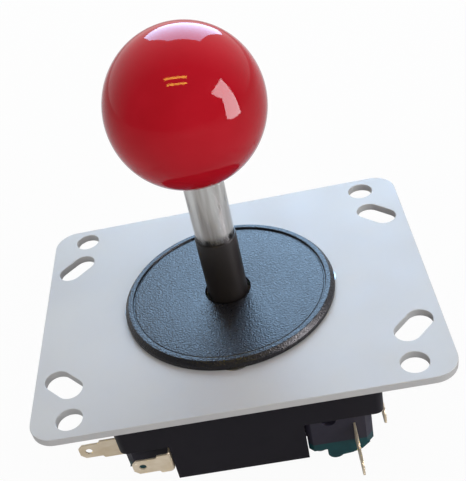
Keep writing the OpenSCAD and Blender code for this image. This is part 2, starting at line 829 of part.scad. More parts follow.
mounting_plate();
plate_screws();
housing();
pivot_retainer();
spring_washer();
restrictor_gate();
gate_screws();
switch_screws();
lever_pins();
on_side(0) switch_case();  // front_switch_case
on_side(1) switch_case();  // right_switch_case
on_side(2) switch_case();  // back_switch_case
on_side(3) switch_case();  // left_switch_case
on_side(0) switch_cover();  // front_switch_cover
on_side(1) switch_cover();  // right_switch_cover
on_side(2) switch_cover();  // back_switch_cover
on_side(3) switch_cover();  // left_switch_cover
on_side(0) end_terminal();  // front_end_terminal
on_side(1) end_terminal();  // right_end_terminal
on_side(2) end_terminal();  // back_end_terminal
on_side(3) end_terminal();  // left_end_terminal
on_side(0) side_terminal();  // front_side_terminal
on_side(1) side_terminal();  // right_side_terminal
on_side(2) side_terminal();  // back_side_terminal
on_side(3) side_terminal();  // left_side_terminal
on_side(0) plunger();  // front_plunger
on_side(1) plunger();  // right_plunger
on_side(2) plunger();  // back_plunger
on_side(3) plunger();  // left_plunger
on_side(0) lever();  // front_lever
on_side(1) lever();  // right_lever
on_side(2) lever();  // back_lever
on_side(3) lever();  // left_lever
pivot_ball();
cross_pin();
shaft();
shaft_sleeve();
ball_top();
ball_insert();
actuator();
e_clip();
spring();
slip_washer();
dust_disc();
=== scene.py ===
# %% [markdown]
# # A ball top joystick under its mounting plate
# The construction comes from a CAD frame at its real size, in metres, with +Z up. This lesson
# gives each piece the edges and the finish of the real one. The frame is loaded first, and its
# box is kept; the floor is laid just under it.

# %% Load the frame
import json
import math

import bmesh
import bpy
from mathutils import Matrix, Vector


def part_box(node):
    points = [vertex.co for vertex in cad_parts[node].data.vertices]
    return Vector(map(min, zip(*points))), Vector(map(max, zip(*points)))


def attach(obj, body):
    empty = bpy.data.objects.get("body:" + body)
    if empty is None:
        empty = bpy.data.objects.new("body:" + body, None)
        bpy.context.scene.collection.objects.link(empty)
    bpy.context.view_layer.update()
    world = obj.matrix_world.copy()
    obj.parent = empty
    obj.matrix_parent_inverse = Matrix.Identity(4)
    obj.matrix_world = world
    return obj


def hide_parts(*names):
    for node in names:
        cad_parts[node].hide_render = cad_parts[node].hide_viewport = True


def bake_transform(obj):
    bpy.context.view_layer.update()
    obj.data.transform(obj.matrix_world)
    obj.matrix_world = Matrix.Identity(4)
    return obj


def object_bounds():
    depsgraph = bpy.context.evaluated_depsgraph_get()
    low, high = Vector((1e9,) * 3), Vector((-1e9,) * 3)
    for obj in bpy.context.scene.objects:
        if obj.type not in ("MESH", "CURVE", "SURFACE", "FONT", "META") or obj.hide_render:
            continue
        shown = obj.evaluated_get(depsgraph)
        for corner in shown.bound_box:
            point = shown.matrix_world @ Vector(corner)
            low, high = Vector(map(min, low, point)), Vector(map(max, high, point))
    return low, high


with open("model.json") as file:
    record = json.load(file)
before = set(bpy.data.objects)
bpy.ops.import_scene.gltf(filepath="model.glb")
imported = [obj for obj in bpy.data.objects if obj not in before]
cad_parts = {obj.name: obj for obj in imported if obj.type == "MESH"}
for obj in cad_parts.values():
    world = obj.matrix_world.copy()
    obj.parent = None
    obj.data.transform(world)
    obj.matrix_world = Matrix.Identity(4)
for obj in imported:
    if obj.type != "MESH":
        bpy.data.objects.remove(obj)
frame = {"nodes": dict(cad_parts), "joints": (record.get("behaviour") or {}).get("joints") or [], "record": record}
cad_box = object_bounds()
MM = 0.001
NODES = frame["nodes"]
BODIES = frame["record"]["behaviour"]["bodies"]
SIDES = ("front", "right", "back", "left")
print(len(NODES), "nodes; box", [[round(v / MM, 1) for v in corner] for corner in cad_box])

# %% [markdown]
# ## The camera
# The photograph was taken by hand from above the front edge, with the camera turned a little
# about its own axis and the stick left of the picture's middle. Place, direction, turn and
# lens come from fitting the plate's edges, its holes, the disc and the ball. A small shift
# keeps the perspective centre low, as it is in the photograph.

# %% Camera
IMAGE_H = 481
LENS_IN_PIXELS = 841.8
CAMERA_AT = Vector((14.43, -161.9, 136.95)) * MM
LOOK_DOWN = math.radians(41.02)
LOOK_LEFT = math.radians(7.26)
TURN = math.radians(-14.79)
SENSOR = 36.0

forward = Vector((-math.sin(LOOK_LEFT) * math.cos(LOOK_DOWN),
                  math.cos(LOOK_LEFT) * math.cos(LOOK_DOWN), -math.sin(LOOK_DOWN)))
level = forward.cross(Vector((0, 0, 1))).normalized()
upright = level.cross(forward)
right = level * math.cos(TURN) + upright * math.sin(TURN)
up = right.cross(forward)

camera_data = bpy.data.cameras.new("camera")
camera = bpy.data.objects.new("camera", camera_data)
bpy.context.scene.collection.objects.link(camera)
bpy.context.scene.camera = camera
camera.matrix_world = Matrix.Translation(CAMERA_AT) @ Matrix(
    (right, up, -forward)).transposed().to_4x4()
camera_data.sensor_fit = "AUTO"
camera_data.sensor_width = SENSOR
camera_data.lens = LENS_IN_PIXELS * SENSOR / IMAGE_H
camera_data.shift_x = 0.05
camera_data.shift_y = 0.15
camera_data.clip_start = 0.01
bpy.context.scene.view_settings.view_transform = "Standard"
print("lens", round(camera_data.lens, 2), "mm")

# %% [markdown]
# ## Nodes in few lines
# A material or a Geometry Nodes tree is a graph. Two helpers keep the graphs readable: one
# makes a node and sets its inputs by name, the other joins two sockets.

# %% Node helpers
def add(tree, kind, inputs=None, **settings):
    """A node of a kind, with its settings, and its inputs set by name or number."""
    made = tree.nodes.new(kind)
    for key, value in settings.items():
        setattr(made, key, value)
    for key, value in (inputs or {}).items():
        made.inputs[key].default_value = value
    return made


def join(tree, source, target):
    """Links two sockets."""
    tree.links.new(source, target)


def colour(r, g, b):
    """A linear colour from the 0 to 255 values of a picture."""
    channels = []
    for value in (r, g, b):
        c = value / 255
        channels.append(c / 12.92 if c <= 0.04045 else ((c + 0.055) / 1.055) ** 2.4)
    return (*channels, 1.0)


# %% [markdown]
# ## A base for every finish
# Each finish is a Principled shader. Numbers that are the same all over are set on its own
# sockets. What varies, such as a faint mottle in the colour, a grain in the surface or a
# roughness that wanders, comes from noise read in the piece's own coordinates, in metres.

# %% Finish helpers
FINISH = {}


def finish(slot, base, roughness, metallic=0.0, **sockets):
    """A material for one of the record's slots; returns it, its tree and its shader."""
    material = bpy.data.materials.new(slot + "_finish")
    material.use_nodes = True
    tree = material.node_tree
    shader = tree.nodes["Principled BSDF"]
    shader.inputs["Base Color"].default_value = base
    shader.inputs["Roughness"].default_value = roughness
    shader.inputs["Metallic"].default_value = metallic
    for key, value in sockets.items():
        shader.inputs[key.replace("_", " ")].default_value = value
    FINISH[slot] = material
    return tree, shader


def noise(tree, size, detail=3.0, stretch=(1, 1, 1)):
    """Noise whose features are about size metres, longer along an axis if stretched."""
    place = add(tree, "ShaderNodeTexCoord")
    mapping = add(tree, "ShaderNodeMapping", {"Scale": [1 / (size * s) for s in stretch]})
    texture = add(tree, "ShaderNodeTexNoise", {"Scale": 1.0, "Detail": detail})
    join(tree, place.outputs["Object"], mapping.inputs["Vector"])
    join(tree, mapping.outputs["Vector"], texture.inputs["Vector"])
    return texture.outputs["Fac"]


def vary(tree, shader, fac, low, high, socket="Roughness"):
    """Drives a number of the shader between two values."""
    spread = add(tree, "ShaderNodeMapRange",
                 {"From Min": 0.3, "From Max": 0.7, "To Min": low, "To Max": high})
    join(tree, fac, spread.inputs["Value"])
    join(tree, spread.outputs["Result"], shader.inputs[socket])


def mottle(tree, shader, fac, dark, light):
    """Drives the base colour between two colours."""
    ramp = add(tree, "ShaderNodeValToRGB")
    ramp.color_ramp.elements[0].position = 0.3
    ramp.color_ramp.elements[0].color = dark
    ramp.color_ramp.elements[1].position = 0.7
    ramp.color_ramp.elements[1].color = light
    join(tree, fac, ramp.inputs["Fac"])
    join(tree, ramp.outputs["Color"], shader.inputs["Base Color"])


def grain(tree, shader, fac, depth, strength=1.0):
    """Raises the surface by up to depth metres where fac is high."""
    bump = add(tree, "ShaderNodeBump", {"Strength": strength, "Distance": depth})
    join(tree, fac, bump.inputs["Height"])
    join(tree, bump.outputs["Normal"], shader.inputs["Normal"])


# %% [markdown]
# ## Steel: plate, shaft, screws and springs
# The plate is pressed steel with a pale satin coat, so it is nearly a diffuse grey, a little
# blue, with a very fine tooth. The shaft is bright chrome with faint lines along it from
# polishing, and the warm dark tone of those lines is partly a painted reflection of the plate.
# Screws and springs are plain zinc and spring steel.

# %% Steel finishes
tree, shader = finish("plate", colour(186, 186, 187), 0.45, Specular_IOR_Level=0.31)
mottle(tree, shader, noise(tree, 0.018, 4.0), colour(183, 183, 185), colour(189, 189, 189))
vary(tree, shader, noise(tree, 0.009, 3.0), 0.41, 0.5)
grain(tree, shader, noise(tree, 0.0005, 2.0), 0.00001, 0.5)

tree, shader = finish("chrome", colour(198, 197, 197), 0.12, 1.0)
# The streaks along the shaft are polish lines. Their warm dark colour is a painted reflection that stands in for
# the beige of the plate mirrored in the chrome.
mottle(tree, shader, noise(tree, 0.0022, 3.0, (1, 1, 16)), colour(165, 159, 154),
       colour(224, 224, 223))
vary(tree, shader, noise(tree, 0.0012, 3.0, (1, 1, 14)), 0.07, 0.24)
grain(tree, shader, noise(tree, 0.0009, 2.0, (1, 1, 20)), 0.000008, 0.35)

tree, shader = finish("screw_steel", colour(142, 144, 147), 0.4, 1.0)
vary(tree, shader, noise(tree, 0.0008), 0.34, 0.52)
mottle(tree, shader, noise(tree, 0.002), colour(126, 128, 132), colour(156, 157, 159))

tree, shader = finish("spring_steel", colour(176, 178, 180), 0.28, 1.0)
vary(tree, shader, noise(tree, 0.0006, 3.0, (6, 1, 1)), 0.2, 0.4)
grain(tree, shader, noise(tree, 0.0004, 2.0, (8, 1, 1)), 0.000006, 0.3)

# %% [markdown]
# ## Plastics
# Four kinds of black meet here. The disc has a pebbled grain that breaks up the sky's
# reflection, the sleeve is smooth and satin, the housing is plain moulded, and the switches
# are a little bluer and drier. The switch covers are a dark teal, the hidden bearings are
# white nylon, and the ball is red with a deep clear gloss.

# %% Plastic finishes
tree, shader = finish("disc_plastic", colour(22, 22, 26), 0.32, Specular_IOR_Level=0.36)
grain(tree, shader, noise(tree, 0.00048, 2.0), 0.00018, 0.9)
vary(tree, shader, noise(tree, 0.0006, 3.0), 0.24, 0.42)

tree, shader = finish("sleeve_plastic", colour(32, 29, 28), 0.34, Specular_IOR_Level=0.35)
vary(tree, shader, noise(tree, 0.004, 2.0, (1, 1, 4)), 0.3, 0.4)
grain(tree, shader, noise(tree, 0.0004), 0.000006, 0.4)

tree, shader = finish("black_plastic", colour(23, 21, 28), 0.45, Specular_IOR_Level=0.15)
vary(tree, shader, noise(tree, 0.006, 3.0), 0.36, 0.5)
grain(tree, shader, noise(tree, 0.0005), 0.000012, 0.5)

tree, shader = finish("switch_case", colour(40, 38, 50), 0.48, Specular_IOR_Level=0.25)
vary(tree, shader, noise(tree, 0.003, 3.0), 0.4, 0.54)
grain(tree, shader, noise(tree, 0.0004), 0.00001, 0.5)

tree, shader = finish("switch_cover", colour(12, 60, 65), 0.42, Specular_IOR_Level=0.25)
mottle(tree, shader, noise(tree, 0.004), colour(9, 54, 60), colour(15, 66, 70))
grain(tree, shader, noise(tree, 0.0004), 0.00001, 0.5)

tree, shader = finish("nylon", colour(226, 224, 214), 0.38, Subsurface_Weight=0.15,
                      Subsurface_Scale=0.002)
mottle(tree, shader, noise(tree, 0.003), colour(219, 217, 206), colour(231, 229, 220))

tree, shader = finish("ball_red", colour(186, 18, 34), 0.05, Specular_IOR_Level=0.18)
mottle(tree, shader, noise(tree, 0.012, 3.0), colour(180, 15, 31), colour(191, 21, 38))
grain(tree, shader, noise(tree, 0.006, 1.0), 0.00002, 0.15)
vary(tree, shader, noise(tree, 0.003, 2.0), 0.04, 0.07)

# %% [markdown]
# ## Brass
# The insert in the ball is raw brass. The tabs of the switches are thin brass with a dull,
# pale tin plating that shows the yellow only faintly.

# %% Brass finishes
tree, shader = finish("brass", colour(206, 176, 104), 0.3, 1.0)
mottle(tree, shader, noise(tree, 0.002), colour(190, 160, 90), colour(214, 186, 118))

tree, shader = finish("terminal", colour(236, 220, 194), 0.36, 0.4)
mottle(tree, shader, noise(tree, 0.0022, 3.0, (2, 1, 1)), colour(226, 208, 178),
       colour(243, 230, 208))
vary(tree, shader, noise(tree, 0.0007), 0.3, 0.46)
print(len(FINISH), "finishes:", ", ".join(sorted(FINISH)))

# %% [markdown]
# ## Seating a piece
# Every dressed piece takes the finish of its slot and hides the CAD node that it stands for,
# and rides on that node's body, except the spring's parts, which stay fixed in place. One call does all of it, so
# no piece is left behind.

# %% Seat a piece
SLOT_OF = {part["node"]: part["material_slot"] for part in frame["record"]["subparts"]}
BODY_OF = {node: body for body, members in BODIES.items() for node in members}


def object_from(mesh_data, name):
    """A linked object at the origin."""
    made = bpy.data.objects.new(name, mesh_data)
    bpy.context.scene.collection.objects.link(made)
    return made


def seat(piece, node, bend=None):
    """Gives a piece the finish and the body of a CAD node and hides the node; with bend, the piece is fixed in
    place and gets no body, and the values in bend are not used.
    """
    slot = SLOT_OF[node]
    piece.data.materials.clear()
    piece.data.materials.append(FINISH[slot])
    for face in piece.data.polygons:
        face.material_index = 0
    if bend:
        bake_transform(piece)
    else:
        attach(piece, BODY_OF[node])
    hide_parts(node)


for node, cad in NODES.items():
    cad.data.materials.clear()
    cad.data.materials.append(FINISH[SLOT_OF[node]])
print("finishes on", len(NODES), "CAD nodes")

# %% [markdown]
# ## Moulded and pressed pieces keep their CAD shape
# The plate, the housing, the gate and the switches already have the right shape, but their
# edges are razor sharp, and real edges catch a line of light. A copy of the node's mesh is
# merged, its flat faces are joined again, and a narrow bevel rounds the sharp edges.

# %% Round the edges of a CAD piece
def smooth_by_angle(mesh_data, degrees):
    """Smooth shading that stays crisp at edges above an angle."""
    mesh_data.shade_smooth()
    mesh_data.set_sharp_from_angle(angle=math.radians(degrees))


def applied(obj):
    """The object's mesh with its modifiers applied, as a plain object that replaces it."""
    bpy.context.view_layer.update()
    ready = obj.evaluated_get(bpy.context.evaluated_depsgraph_get())
    mesh_data = bpy.data.meshes.new_from_object(ready)
    name = obj.name
    bpy.data.objects.remove(obj)
    mesh_data.name = name
    return object_from(mesh_data, name)


def merged_copy(node, name):
    """A copy of a CAD node's mesh, merged, with its flat faces joined."""
    mesh_data = NODES[node].data.copy()
    work = bmesh.new()
    work.from_mesh(mesh_data)
    bmesh.ops.remove_doubles(work, verts=work.verts, dist=0.002 * MM)
    bmesh.ops.dissolve_limit(work, angle_limit=math.radians(1), verts=work.verts,
                             edges=work.edges)
    work.to_mesh(mesh_data)
    work.free()
    return object_from(mesh_data, name)


def rounded_copy(node, width, segments=2, angle=35):
    """A CAD piece with its sharp edges rounded to a width in millimetres."""
    piece = merged_copy(node, node + "_piece")
    bevel = piece.modifiers.new("edge", "BEVEL")
    bevel.limit_method = "ANGLE"
    bevel.angle_limit = math.radians(angle)
    bevel.width = width * MM
    bevel.segments = segments
    bevel.harden_normals = False
    weighted = piece.modifiers.new("normals", "WEIGHTED_NORMAL")
    weighted.keep_sharp = True
    smooth_by_angle(piece.data, 40)
    piece = applied(piece)
    seat(piece, node)
    return piece


# %% Rounded pieces
EDGE_MM = {"mounting_plate": (0.45, 3, 50), "housing": (0.35, 2, 35),
           "restrictor_gate": (0.3, 2, 35), "e_clip": (0.08, 1, 35),
           "spring_washer": (0.08, 1, 35), "pivot_retainer": (0.2, 1, 50)}
for side in SIDES:
    EDGE_MM[side + "_switch_case"] = (0.22, 2, 35)
    EDGE_MM[side + "_switch_cover"] = (0.22, 2, 35)
    EDGE_MM[side + "_end_terminal"] = (0.07, 1, 35)
    EDGE_MM[side + "_side_terminal"] = (0.07, 1, 35)
    EDGE_MM[side + "_lever"] = (0.05, 1, 35)
for node, (width, segments, angle) in EDGE_MM.items():
    piece = rounded_copy(node, width, segments, angle)
    print(piece.name, len(piece.data.polygons), "faces")

# %% [markdown]
# ## Turned pieces
# The shaft, the sleeve, the ball, the disc and the cup were turned or moulded round. Each is
# a profile of radius and height, whose corners have their own small radius, spun about the
# stick's axis in fine steps. A profile that starts and ends on the axis is closed by a single
# point at each pole, and a ring's profile joins itself.

# %% Profiles with rounded corners
def arc_corner(before, corner, after, radius, steps=5):
    """Points that round a corner between two others."""
    a, c, b = Vector(before[:2]), Vector(corner[:2]), Vector(after[:2])
    to_a, to_b = (a - c), (b - c)
    reach = min(radius / math.tan(max(to_a.angle(to_b), 0.1) / 2),
                0.45 * to_a.length, 0.45 * to_b.length)
    start, end = c + to_a.normalized() * reach, c + to_b.normalized() * reach
    points = []
    for step in range(steps + 1):
        t = step / steps
        points.append(start * (1 - t) ** 2 + c * 2 * t * (1 - t) + end * t ** 2)
    return points


def rounded_profile(corners, ring):
    """Points of a profile whose corners are (radius, height, rounding) in millimetres."""
    points = []
    count = len(corners)
    for i, corner in enumerate(corners):
        inside = ring or 0 < i < count - 1
        if corner[2] > 0 and inside:
            points += arc_corner(corners[i - 1], corner, corners[(i + 1) % count], corner[2])
        else:
            points.append(Vector(corner[:2]))
    return points


def turned(name, points, ring, steps=96):
    """Spins profile points about Z; poles are single points."""
    work = bmesh.new()
    rows = []
    for point in points:
        radius, height = point.x * MM, point.y * MM
        if radius < 1e-6:
            rows.append([work.verts.new((0, 0, height))])
        else:
            rows.append([work.verts.new((radius * math.cos(math.tau * k / steps),
                                         radius * math.sin(math.tau * k / steps), height))
                         for k in range(steps)])
    pairs = list(zip(rows, rows[1:])) + ([(rows[-1], rows[0])] if ring else [])
    for low, high in pairs:
        for k in range(steps):
            n = (k + 1) % steps
            corners = [low[k % len(low)], low[n % len(low)], high[n % len(high)],
                       high[k % len(high)]]
            unique = list(dict.fromkeys(corners))
            work.faces.new(unique)
    bmesh.ops.recalc_face_normals(work, faces=work.faces)
    mesh_data = bpy.data.meshes.new(name)
    work.to_mesh(mesh_data)
    work.free()
    smooth_by_angle(mesh_data, 35)
    return object_from(mesh_data, name)


# %% [markdown]
# ## Sizes for the turned pieces
# The outer sizes are read from the CAD nodes' boxes, so that a turned piece fits its node. The
# few inner ones, such as the stem under the sleeve, are written out as in the CAD source.

# %% Sizes from the frame
def size_of(node):
    """(largest radius, lowest, highest) of a node on the stick's axis, in millimetres."""
    low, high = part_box(node)
    return (high[0] - low[0]) / 2 / MM, low[2] / MM, high[2] / MM


ball_radius = size_of("ball_top")[0]
ball_top_z = size_of("ball_top")[2]
ball_centre = ball_top_z - ball_radius
shaft_radius, shaft_low, shaft_high = size_of("shaft")
sleeve_radius, sleeve_low, sleeve_high = size_of("shaft_sleeve")
disc_radius, disc_low, disc_high = size_of("dust_disc")
stem_radius = 4.0
neck_radius = 3.0
stud_radius = 3.0
groove_radius = 2.4
pivot_height = frame["joints"][0]["pos_m"][2] / MM
print("ball", round(ball_radius, 2), "at", round(ball_centre, 2), "shaft", round(shaft_radius, 2))

# %% [markdown]
# ## The ball
# The ball is a sphere with a bore from below. The bore has a small broken edge, where the
# chrome goes in. Rows of points at equal angles keep the highlight round.

# %% Ball top
bore_radius = shaft_radius + 0.05
mouth = math.asin((bore_radius + 0.35) / ball_radius)
ball_rows = 72
sphere_points = [Vector((0, ball_centre + ball_radius))]
for row in range(1, ball_rows + 1):
    turn_down = (math.pi - mouth) * row / ball_rows
    sphere_points.append(Vector((ball_radius * math.sin(turn_down),
                                 ball_centre + ball_radius * math.cos(turn_down))))
rim_z = sphere_points[-1].y
bore_top = ball_centre - 2
sphere_points += [Vector((bore_radius + 0.1, rim_z + 0.1)), Vector((bore_radius, rim_z + 0.4)),
                  Vector((bore_radius, bore_top)), Vector((0, bore_top))]
ball = turned("ball_top_piece", sphere_points, ring=False, steps=128)
seat(ball, "ball_top")
print("ball", len(ball.data.polygons), "faces, mouth radius", round(bore_radius + 0.35, 2))

# %% [markdown]
# ## The shaft and its sleeve
# The shaft is one turned bar: a stud for the ball, the bright length, a stem inside the
# sleeve, a neck through the pivot, a groove for the clip and a slotted end. A boolean cuts the
# screwdriver slot, as a mill would. The hole for the cross pin stays inside the pivot ball,
# out of sight, and isn't cut here.

# %% Shaft
def cut(piece, cutter):
    """Cuts one closed mesh out of another and applies it."""
    boolean = piece.modifiers.new("cut", "BOOLEAN")
    boolean.operation = "DIFFERENCE"
    boolean.solver = "EXACT"
    boolean.object = cutter
    piece = applied(piece)
    bpy.data.objects.remove(cutter)
    return piece


def bar(name, low, high):
    """A closed box between two corners, in millimetres."""
    work = bmesh.new()
    bmesh.ops.create_cube(work, size=1.0)
    middle = (Vector(low) + Vector(high)) / 2 * MM
    spans = (Vector(high) - Vector(low)) * MM
    bmesh.ops.scale(work, vec=spans, verts=work.verts)
    bmesh.ops.translate(work, vec=middle, verts=work.verts)
    mesh_data = bpy.data.meshes.new(name)
    work.to_mesh(mesh_data)
    work.free()
    return object_from(mesh_data, name)


clip_low, clip_high = (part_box("e_clip")[end][2] / MM for end in (0, 1))
stud_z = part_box("ball_insert")[0][2] / MM
stem_low = pivot_height - 5.5
shaft_corners = [
    (0, shaft_low, 0), (neck_radius, shaft_low, 0.4), (neck_radius, clip_low - 0.02, 0.05),
    (groove_radius, clip_low - 0.02, 0), (groove_radius, clip_high + 0.02, 0),
    (neck_radius, clip_high + 0.02, 0.05),
    (neck_radius, stem_low, 0.1), (stem_radius, stem_low, 0.3),
    (stem_radius, sleeve_high, 0), (shaft_radius, sleeve_high, 0.25),
    (shaft_radius, stud_z, 0.2), (stud_radius, stud_z, 0.1), (stud_radius, shaft_high, 0.5),
    (0, shaft_high, 0)]
shaft = turned("shaft_piece", rounded_profile(shaft_corners, ring=False), ring=False)
shaft = cut(shaft, bar("slot_cutter", (-4, -0.5, shaft_low - 1), (4, 0.5, shaft_low + 1.2)))
smooth_by_angle(shaft.data, 35)
seat(shaft, "shaft")

# %% Sleeve
sleeve_corners = [
    (stem_radius + 0.02, sleeve_low, 0.1), (sleeve_radius, sleeve_low, 0.2),
    (sleeve_radius, sleeve_high, 0.3), (stem_radius + 0.02, sleeve_high, 0.1)]
sleeve = turned("shaft_sleeve_piece", rounded_profile(sleeve_corners, ring=True), ring=True)
seat(sleeve, "shaft_sleeve")
print("shaft", len(shaft.data.polygons), "faces; sleeve", len(sleeve.data.polygons))

# %% [markdown]
# ## The dust disc
# The disc is moulded with a rolled edge, a narrow rim, a fine groove and a dished field. Its
# profile follows the CAD node, with softer corners and the groove added.

# %% Dust disc
field_z = disc_high - 0.4
under_z = field_z - 0.8
hole_radius = 5.7
hollow_radius = 22.0
groove_z = field_z - 0.12
disc_corners = [
    (hole_radius, under_z, 0.1), (hollow_radius, under_z, 0.1),
    (hollow_radius + 0.3, disc_low, 0.05),
    (disc_radius, disc_low, 0.25), (disc_radius, disc_low + 1.15, 0.6),
    (disc_radius - 0.95, disc_high, 0.3), (disc_radius - 2.15, disc_high, 0.25),
    (disc_radius - 2.25, groove_z, 0.04), (disc_radius - 2.55, groove_z, 0.04),
    (disc_radius - 2.7, field_z, 0.1), (hole_radius, field_z, 0.25)]
disc = turned("dust_disc_piece", rounded_profile(disc_corners, ring=True), ring=True, steps=160)
seat(disc, "dust_disc")
print("disc", len(disc.data.polygons), "faces")

# %% [markdown]
# ## The cup on the shaft's foot
# The cup carries a round bead that presses the levers, and a boss that meets the gate. It is
# one nylon moulding, so its corners are soft.

# %% Actuator cup
crest_radius, boss_low, cup_high = size_of("actuator")
cup_low = boss_low + 2.5
floor_high = cup_low + 1.2
boss_radius, wall_inside, wall_outside = 6, 7.3, 8
bore = neck_radius + 0.02
bead_at, bead_radius = 7.8, 0.8
bead_z = cup_high - bead_radius
bead = [Vector((bead_at + bead_radius * math.cos(math.radians(a)),
                bead_z + bead_radius * math.sin(math.radians(a)))) for a in range(-75, 76, 15)]
below_bead = (wall_outside, bead_z - bead_radius, 0)
lower = rounded_profile([
    (bore, boss_low, 0), (boss_radius, boss_low, 0.4), (boss_radius, cup_low, 0.3),
    (wall_outside, cup_low, 0.8), below_bead, below_bead], ring=False)
upper = rounded_profile([
    (wall_outside, cup_high, 0), (wall_inside, cup_high, 0), (wall_inside, floor_high, 0.4),
    (bore, floor_high, 0)], ring=False)
cup = turned("actuator_piece", lower[:-1] + bead + upper, ring=True)
seat(cup, "actuator")
print("cup", len(cup.data.polygons), "faces, crest", round(crest_radius, 2))

# %% [markdown]
# ## Four sides at once, with Geometry Nodes
# Screws repeat on the four sides of the pinwheel. One screw is modelled in its place, and a
# small node tree turns copies of it about the stick's axis. The copies are instances, which
# are realised so that the result is a plain mesh.

# %% The tree that turns copies round the axis
def new_tree(name, sizes):
    """An empty Geometry Nodes tree with geometry, named sizes and a material as inputs."""
    tree = bpy.data.node_groups.new(name, "GeometryNodeTree")
    face = tree.interface
    face.new_socket("Geometry", in_out="INPUT", socket_type="NodeSocketGeometry")
    for label, kind, value in sizes:
        socket = face.new_socket(label, in_out="INPUT", socket_type="NodeSocket" + kind)
        socket.default_value = value
    face.new_socket("Material", in_out="INPUT", socket_type="NodeSocketMaterial")
    face.new_socket("Geometry", in_out="OUTPUT", socket_type="NodeSocketGeometry")
    return tree, add(tree, "NodeGroupInput"), add(tree, "NodeGroupOutput")


def end_tree(tree, source, geometry, sink):
    """Realises instances, sets the material and ends the tree."""
    realise = add(tree, "GeometryNodeRealizeInstances")
    paint = add(tree, "GeometryNodeSetMaterial")
    join(tree, geometry, realise.inputs["Geometry"])
    join(tree, realise.outputs["Geometry"], paint.inputs["Geometry"])
    join(tree, source.outputs["Material"], paint.inputs["Material"])
    join(tree, paint.outputs["Geometry"], sink.inputs["Geometry"])


turn_tree, source, sink = new_tree("turned_copies", [("Copies", "Int", 4)])
points = add(turn_tree, "GeometryNodePoints")
index = add(turn_tree, "GeometryNodeInputIndex")
share = add(turn_tree, "ShaderNodeMath", operation="DIVIDE")
angle = add(turn_tree, "ShaderNodeMath", {1: math.tau}, operation="MULTIPLY")
euler = add(turn_tree, "ShaderNodeCombineXYZ")
rotation = add(turn_tree, "FunctionNodeEulerToRotation")
copies = add(turn_tree, "GeometryNodeInstanceOnPoints")
join(turn_tree, source.outputs["Copies"], points.inputs["Count"])
join(turn_tree, index.outputs["Index"], share.inputs[0])
join(turn_tree, source.outputs["Copies"], share.inputs[1])
join(turn_tree, share.outputs["Value"], angle.inputs[0])
join(turn_tree, angle.outputs["Value"], euler.inputs["Z"])
join(turn_tree, euler.outputs["Vector"], rotation.inputs["Euler"])
join(turn_tree, points.outputs["Points"], copies.inputs["Points"])
join(turn_tree, source.outputs["Geometry"], copies.inputs["Instance"])
join(turn_tree, rotation.outputs["Rotation"], copies.inputs["Rotation"])
end_tree(turn_tree, source, copies.outputs["Instances"], sink)
print(turn_tree.name, len(turn_tree.nodes), "nodes")


# %% Run a tree on a piece
def through(tree, piece, **sizes):
    """The piece after a Geometry Nodes tree, as a plain mesh."""
    modifier = piece.modifiers.new(tree.name, "NODES")
    modifier.node_group = tree
    sockets = {item.name: item.identifier for item in tree.interface.items_tree
               if item.in_out == "INPUT"}
    for label, value in sizes.items():
        modifier[sockets[label.replace("_", " ")]] = value
    return applied(piece)


# %% [markdown]
# ## The thread and the spring are the same rule
# A thread and a spring are both a profile carried along a helix. One tree makes both: it takes
# the turns, the radius, the height and the thickness of the wire, and for a spring it holds
# the first and last turns flat.

# %% The tree that winds a wire
coil_tree, source, sink = new_tree("wound_wire", [
    ("Turns", "Float", 5.0), ("Radius", "Float", 0.0065), ("Height", "Float", 0.007),
    ("Wire", "Float", 0.0005), ("Sides", "Int", 10), ("Flat", "Float", 0.12),
    ("Base", "Float", 0.0), ("Steps", "Int", 40)])
spiral = add(coil_tree, "GeometryNodeCurveSpiral", {"Height": 1.0})
along = add(coil_tree, "GeometryNodeSplineParameter")
flat_end = add(coil_tree, "ShaderNodeMath", {0: 1.0}, operation="SUBTRACT")
rise = add(coil_tree, "ShaderNodeMapRange")
height = add(coil_tree, "ShaderNodeMath", operation="MULTIPLY_ADD")
position = add(coil_tree, "GeometryNodeInputPosition")
split = add(coil_tree, "ShaderNodeSeparateXYZ")
merge = add(coil_tree, "ShaderNodeCombineXYZ")
move = add(coil_tree, "GeometryNodeSetPosition")
wire = add(coil_tree, "GeometryNodeCurvePrimitiveCircle")
sweep = add(coil_tree, "GeometryNodeCurveToMesh", {"Fill Caps": True})
smooth = add(coil_tree, "GeometryNodeSetShadeSmooth")
join(coil_tree, source.outputs["Turns"], spiral.inputs["Rotations"])
join(coil_tree, source.outputs["Steps"], spiral.inputs["Resolution"])
join(coil_tree, source.outputs["Radius"], spiral.inputs["Start Radius"])
join(coil_tree, source.outputs["Radius"], spiral.inputs["End Radius"])
join(coil_tree, source.outputs["Flat"], flat_end.inputs[1])
join(coil_tree, along.outputs["Factor"], rise.inputs["Value"])
join(coil_tree, source.outputs["Flat"], rise.inputs["From Min"])
join(coil_tree, flat_end.outputs["Value"], rise.inputs["From Max"])
join(coil_tree, rise.outputs["Result"], height.inputs[0])
join(coil_tree, source.outputs["Height"], height.inputs[1])
join(coil_tree, source.outputs["Base"], height.inputs[2])
join(coil_tree, position.outputs["Position"], split.inputs["Vector"])
join(coil_tree, split.outputs["X"], merge.inputs["X"])
join(coil_tree, split.outputs["Y"], merge.inputs["Y"])
join(coil_tree, height.outputs["Value"], merge.inputs["Z"])
join(coil_tree, spiral.outputs["Curve"], move.inputs["Geometry"])
join(coil_tree, merge.outputs["Vector"], move.inputs["Position"])
join(coil_tree, source.outputs["Sides"], wire.inputs["Resolution"])
join(coil_tree, source.outputs["Wire"], wire.inputs["Radius"])
join(coil_tree, move.outputs["Geometry"], sweep.inputs["Curve"])
join(coil_tree, wire.outputs["Curve"], sweep.inputs["Profile Curve"])
join(coil_tree, sweep.outputs["Mesh"], smooth.inputs["Geometry"])
end_tree(coil_tree, source, smooth.outputs["Geometry"], sink)
print(coil_tree.name, len(coil_tree.nodes), "nodes")
